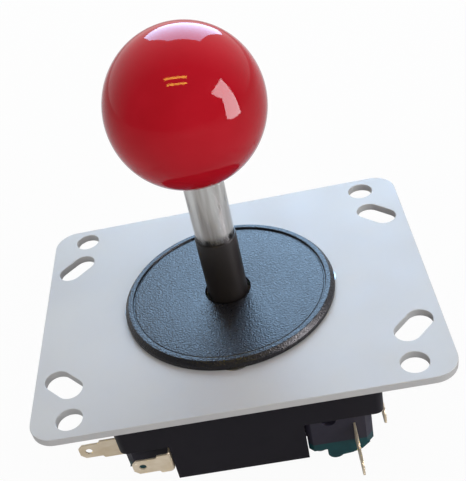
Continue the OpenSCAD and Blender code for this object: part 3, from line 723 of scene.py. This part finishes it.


# %% [markdown]
# The spring's top turn stays flat under its washer while the rest tilts with the cup, and two
# joints, one behind the other, lie between them. The coil is made in two parts that meet
# between the top turn and the levers, and both are fixed in place without a body.

# %% Spring
def wound(name, **sizes):
    """A wire wound by the tree, as its own object."""
    return through(coil_tree, object_from(bpy.data.meshes.new(name), name), **sizes)


def part_of(piece, name, height, upper):
    """The part of a mesh above or below a height, closed by a cap."""
    work = bmesh.new()
    work.from_mesh(piece.data)
    found = bmesh.ops.bisect_plane(
        work, geom=work.verts[:] + work.edges[:] + work.faces[:], plane_co=(0, 0, height),
        plane_no=(0, 0, 1), clear_inner=upper, clear_outer=not upper)
    rim = [part for part in found["geom_cut"] if isinstance(part, bmesh.types.BMEdge)]
    bmesh.ops.contextual_create(work, geom=rim)
    bmesh.ops.recalc_face_normals(work, faces=work.faces)
    mesh_data = bpy.data.meshes.new(name)
    work.to_mesh(mesh_data)
    work.free()
    smooth_by_angle(mesh_data, 60)
    return object_from(mesh_data, name)


spring_low, spring_high = (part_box("spring")[end][2] for end in (0, 1))
wire_radius = 0.5 * MM
top_turn = spring_high - 2 * wire_radius
lever_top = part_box("left_lever")[1][2]
meeting = (top_turn + lever_top) / 2
print("spring bends from", round(top_turn / MM, 2), "to", round(lever_top / MM, 2))
coil = wound("coil", Turns=5.0, Radius=6.5 * MM, Wire=wire_radius * 0.98,
             Height=spring_high - spring_low - 2 * wire_radius, Flat=0.17,
             Base=spring_low + wire_radius, Sides=12, Steps=48)
for name, upper, bodies, ends in (
        ("spring_upper_piece", True, ("base", "pivot"), (top_turn, meeting)),
        ("spring_lower_piece", False, ("pivot", "stick"), (meeting, lever_top))):
    part = part_of(coil, name, meeting, upper)
    seat(part, "spring", bend=(*bodies, *((0, 0, z) for z in ends)))
    print(name, len(part.data.polygons), "faces")
bpy.data.objects.remove(coil)

# %% [markdown]
# ## Screws
# A plate screw is countersunk and flush, and a pan screw has a low domed head. Each has a
# cross recess with sloping walls and a real thread. One screw is turned, its recess is cut, its
# thread is wound and joined, and the tree above copies it to the other sides.

# %% One screw
def recess(name, top, depth, span, downwards):
    """Cutter for a cross recess: two tapered blades that meet in the middle."""
    work = bmesh.new()
    way = -1 if downwards else 1
    for blade in range(2):
        corners = []
        for level_share, reach, half in ((-0.5, span * 1.1, 0.4), (1.0, span * 0.35, 0.22)):
            z = top + way * depth * level_share
            for x, y in ((-reach, -half), (reach, -half), (reach, half), (-reach, half)):
                if blade:
                    x, y = -y, x
                corners.append(work.verts.new(Vector((x, y, z)) * MM))
        low, high = corners[:4], corners[4:]
        work.faces.new(low)
        work.faces.new(high)
        for k in range(4):
            work.faces.new((low[k], low[(k + 1) % 4], high[(k + 1) % 4], high[k]))
    bmesh.ops.recalc_face_normals(work, faces=work.faces)
    mesh_data = bpy.data.meshes.new(name)
    work.to_mesh(mesh_data)
    work.free()
    return object_from(mesh_data, name)


def one_screw(name, profile, top, shank, thread_low, thread_high, downwards, span):
    """A screw on the axis: turned body, cut recess, wound thread."""
    screw = turned(name, rounded_profile(profile, ring=False), ring=False, steps=40)
    cutter = recess(name + "_recess", top, 1.1, span, downwards)
    boolean = screw.modifiers.new("recess", "BOOLEAN")
    boolean.operation = "DIFFERENCE"
    boolean.solver = "EXACT"
    boolean.use_self = True
    boolean.object = cutter
    screw = applied(screw)
    bpy.data.objects.remove(cutter)
    pitch, wire = 1.25, 0.2
    thread = wound(name + "_thread", Turns=(thread_high - thread_low) / pitch,
                   Radius=(shank - wire) * MM, Height=(thread_high - thread_low) * MM,
                   Wire=wire * MM, Flat=0.0, Base=thread_low * MM, Sides=4, Steps=20)
    return joined([screw, thread], name)


def joined(parts, name, places=((0, 0),)):
    """One mesh of several, copied to places in millimetres; the parts are removed."""
    work = bmesh.new()
    for x, y in places:
        for part in parts:
            before = len(work.verts)
            work.from_mesh(part.data)
            work.verts.ensure_lookup_table()
            bmesh.ops.translate(work, vec=Vector((x, y, 0)) * MM, verts=work.verts[before:])
    mesh_data = bpy.data.meshes.new(name)
    work.to_mesh(mesh_data)
    work.free()
    for part in parts:
        bpy.data.objects.remove(part)
    made = object_from(mesh_data, name)
    smooth_by_angle(made.data, 35)
    return made


def all_round(piece, node):
    """Copies a piece to the four sides and seats it as a node."""
    slot = SLOT_OF[node]
    piece = through(turn_tree, piece, Copies=4, Material=FINISH[slot])
    seat(piece, node)
    print(piece.name, len(piece.data.polygons), "faces")


# %% Plate screws
screw_ring = 23.1
plate_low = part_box("plate_screws")[0][2] / MM
flush = [(0, plate_low, 0), (1.0, plate_low, 0.2), (1.55, plate_low + 1.2, 0.1),
         (1.55, -1.7, 0), (2.3, -1.7, 0), (4.0, -0.05, 0.05), (3.95, 0, 0.02), (0, 0, 0)]
plate_screw = one_screw("plate_screws_piece", flush, 0, 1.75, plate_low + 1.0, -2.2, True, 2.1)
all_round(joined([plate_screw], "plate_screws_piece", ((0, -screw_ring),)), "plate_screws")


# %% Pan screws of the gate and the switches
def pan_profile(seat_z, head, head_t, shank, top):
    """Profile of a pan screw that hangs head down."""
    return [(0, seat_z - head_t, 0), (head - 0.3, seat_z - head_t, head_t * 0.7),
            (head, seat_z, 0.1), (shank - 0.2, seat_z, 0), (shank - 0.2, top - 1.0, 0.1),
            (shank - 0.7, top, 0.2), (0, top, 0)]


gate_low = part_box("restrictor_gate")[0][2] / MM
gate_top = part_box("gate_screws")[1][2] / MM
gate_screw_at = (4, -19)
gate_screw = one_screw("gate_screws_piece", pan_profile(gate_low, 2.8, 1.6, 1.4, gate_top),
                       gate_low - 1.6, 1.4, gate_low + 0.6, gate_top - 1.0, False, 1.3)
all_round(joined([gate_screw], "gate_screws_piece", (gate_screw_at,)), "gate_screws")

case_low, case_high = (corner / MM for corner in map(Vector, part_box("front_switch_case")))
head_height = 1.5
switch_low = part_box("switch_screws")[0][2] / MM + head_height
switch_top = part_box("switch_screws")[1][2] / MM
pan = pan_profile(switch_low, 2.4, head_height, 1.45, switch_top)
holder = one_screw("switch_screws_piece", pan, switch_low - head_height, 1.45,
                   switch_low + 0.6, switch_top - 1.0, False, 1.2)
edge_gap, across = 2.8, 13.1
corner_holes = ((case_low.x + edge_gap, case_low.y + across),
                (case_high.x - edge_gap, case_low.y + edge_gap))
all_round(joined([holder], "switch_screws_piece", corner_holes), "switch_screws")
print("switch screws at", [tuple(round(v, 2) for v in place) for place in corner_holes])

# %% [markdown]
# ## Floor and light
# The studio is plain: a pale floor under a white background, a dim room behind the camera, and
# a bluish sky light behind the joystick, which gives the plate its cool far side. The white of
# the background comes from the floor's and the world's own colour where the camera looks,
# never from more light on the piece.

# %% What a ray of the camera or of a reflection sees
def camera_or_gloss(tree):
    """1 for rays from the camera, from gloss and through glass; 0 for rays that light."""
    path = add(tree, "ShaderNodeLightPath")
    first = add(tree, "ShaderNodeMath", operation="MAXIMUM")
    either = add(tree, "ShaderNodeMath", operation="MAXIMUM")
    join(tree, path.outputs["Is Camera Ray"], first.inputs[0])
    join(tree, path.outputs["Is Glossy Ray"], first.inputs[1])
    join(tree, first.outputs["Value"], either.inputs[0])
    join(tree, path.outputs["Is Transmission Ray"], either.inputs[1])
    return either.outputs["Value"], path


def stage_card(name, corners, material):
    """A flat staged polygon, with its corners in metres."""
    mesh_data = bpy.data.meshes.new(name)
    mesh_data.from_pydata([tuple(corner) for corner in corners], [], [range(len(corners))])
    card = object_from(mesh_data, name)
    card.data.materials.append(material)
    return card


# %% Floor
floor_paint = bpy.data.materials.new("floor_paint")
floor_paint.use_nodes = True
tree = floor_paint.node_tree
tree.nodes.clear()
out = add(tree, "ShaderNodeOutputMaterial")
mix = add(tree, "ShaderNodeMixShader")
paint = add(tree, "ShaderNodeBsdfDiffuse", {"Color": (0.5, 0.5, 0.5, 1)})
glow = add(tree, "ShaderNodeEmission", {"Color": (1, 1, 1, 1), "Strength": 1.0})
in_gloss = add(tree, "ShaderNodeMath", {1: 0.25}, operation="MULTIPLY")
in_view = add(tree, "ShaderNodeMath", {1: 0.71}, operation="MULTIPLY_ADD")
seen, path = camera_or_gloss(tree)
join(tree, seen, in_gloss.inputs[0])
join(tree, path.outputs["Is Camera Ray"], in_view.inputs[0])
join(tree, in_gloss.outputs["Value"], in_view.inputs[2])
join(tree, in_view.outputs["Value"], mix.inputs["Fac"])
join(tree, paint.outputs["BSDF"], mix.inputs[1])
join(tree, glow.outputs["Emission"], mix.inputs[2])
join(tree, mix.outputs["Shader"], out.inputs["Surface"])

floor_z = cad_box[0][2] - 0.0005
stage_card("floor", [(x, y, floor_z) for x, y in ((-3, -3), (3, -3), (3, 3), (-3, 3))],
           floor_paint)

# %% World
world = bpy.data.worlds.new("studio")
bpy.context.scene.world = world
world.use_nodes = True
tree = world.node_tree
tree.nodes.clear()
out = add(tree, "ShaderNodeOutputWorld")
mix = add(tree, "ShaderNodeMixShader")
lighting = add(tree, "ShaderNodeBackground", {"Color": (1.0, 0.985, 0.97, 1), "Strength": 0.5})
shown = add(tree, "ShaderNodeBackground", {"Color": (1, 1, 1, 1)})
heading = add(tree, "ShaderNodeTexCoord")
axes = add(tree, "ShaderNodeSeparateXYZ")
behind = add(tree, "ShaderNodeMapRange",
             {"From Min": -0.15, "From Max": 0.55, "To Min": 0.22, "To Max": 1.0})
always = add(tree, "ShaderNodeMath", operation="MAXIMUM")
seen, path = camera_or_gloss(tree)
join(tree, heading.outputs["Generated"], axes.inputs["Vector"])
join(tree, axes.outputs["Y"], behind.inputs["Value"])
join(tree, behind.outputs["Result"], always.inputs[0])
join(tree, path.outputs["Is Camera Ray"], always.inputs[1])
join(tree, always.outputs["Value"], shown.inputs["Strength"])
join(tree, seen, mix.inputs["Fac"])
join(tree, lighting.outputs["Background"], mix.inputs[1])
join(tree, shown.outputs["Background"], mix.inputs[2])
join(tree, mix.outputs["Shader"], out.inputs["Surface"])


# %% [markdown]
# Three lamps light the piece: the sky behind, the room at the right and a low one in front.

# %% Lamps
def soft_lamp(name, place, target, size, radiance, tint=(1, 1, 1)):
    """An oval lamp that faces a point, unseen in gloss; radiance 1 is as bright as white."""
    lamp = bpy.data.lights.new(name, "AREA")
    lamp.shape = "ELLIPSE"
    lamp.size, lamp.size_y = size
    lamp.energy = radiance * math.pi * size[0] * size[1] * math.pi / 4
    lamp.color = tint
    stand = bpy.data.objects.new(name, lamp)
    bpy.context.scene.collection.objects.link(stand)
    stand.visible_glossy = False
    stand.location = place
    stand.rotation_euler = (Vector(target) - Vector(place)).to_track_quat("-Z", "Y").to_euler()
    return stand


soft_lamp("sky_light", (0.08, 0.47, 0.42), (0, 0, 0.03), (0.56, 0.44), 5.4, (0.86, 0.94, 1.0))
soft_lamp("room_light", (0.42, -0.2, 0.3), (0, 0, 0.03), (0.3, 0.3), 3.0)
soft_lamp("front_light", (0.05, -0.6, 0.04), (0, 0, 0.0), (0.5, 0.3), 2.8, (1.0, 0.95, 0.92))

# %% [markdown]
# ## What the gloss shows
# Lamps are plain ovals, but a gloss shows the shape of what lights it: a patch of blue sky
# behind, which gives the disc its sheen, a window to the right and a pair of warm tubes above.
# They are staged cards that only gloss can see, so they light nothing else. Their material
# glows where Light Path says that the ray comes from gloss, and is clear otherwise.

# %% Reflected cards
def reflected(name, tint, strength):
    """A glow that only gloss can see."""
    material = bpy.data.materials.new(name)
    material.use_nodes = True
    tree = material.node_tree
    tree.nodes.clear()
    out = add(tree, "ShaderNodeOutputMaterial")
    mix = add(tree, "ShaderNodeMixShader")
    clear = add(tree, "ShaderNodeBsdfTransparent")
    glow = add(tree, "ShaderNodeEmission", {"Color": (*tint, 1), "Strength": strength})
    path = add(tree, "ShaderNodeLightPath")
    join(tree, path.outputs["Is Glossy Ray"], mix.inputs["Fac"])
    join(tree, clear.outputs["BSDF"], mix.inputs[1])
    join(tree, glow.outputs["Emission"], mix.inputs[2])
    join(tree, mix.outputs["Shader"], out.inputs["Surface"])
    material.cycles.emission_sampling = "NONE"
    return material


sky_outline = ((-0.22, 0.32), (-0.08, 0.2), (0.18, 0.1), (0.27, 0.16), (0.33, 0.45),
               (0.44, 0.84), (-0.07, 0.93), (-0.25, 0.55))
stage_card("sky", [(x, 0.6, z) for x, z in sky_outline],
           reflected("sky_glow", (0.44, 0.69, 1.0), 10.8))
window_outline = ((-0.07, 0.25), (-0.165, 0.265), (-0.26, 0.27), (-0.22, 0.2), (-0.18, 0.155),
                  (-0.2, 0.08), (-0.215, 0.0), (-0.145, -0.015), (-0.07, -0.01))
stage_card("window", [(0.3, y, z) for y, z in window_outline],
           reflected("window_glow", (1.0, 0.95, 1.0), 20.0))
tube_glow = reflected("tube_glow", (1.0, 0.72, 0.1), 26.0)
for number, (left_y, right_y) in enumerate(((-0.268, -0.291), (-0.186, -0.205))):
    stage_card("tube_%d" % number, [
        (-0.125, left_y - 0.014, 0.5), (0.115, right_y - 0.014, 0.5),
        (0.115, right_y + 0.014, 0.5), (-0.125, left_y + 0.014, 0.5)], tube_glow)
print("lamps and cards:", len(bpy.data.lights), "lamps")
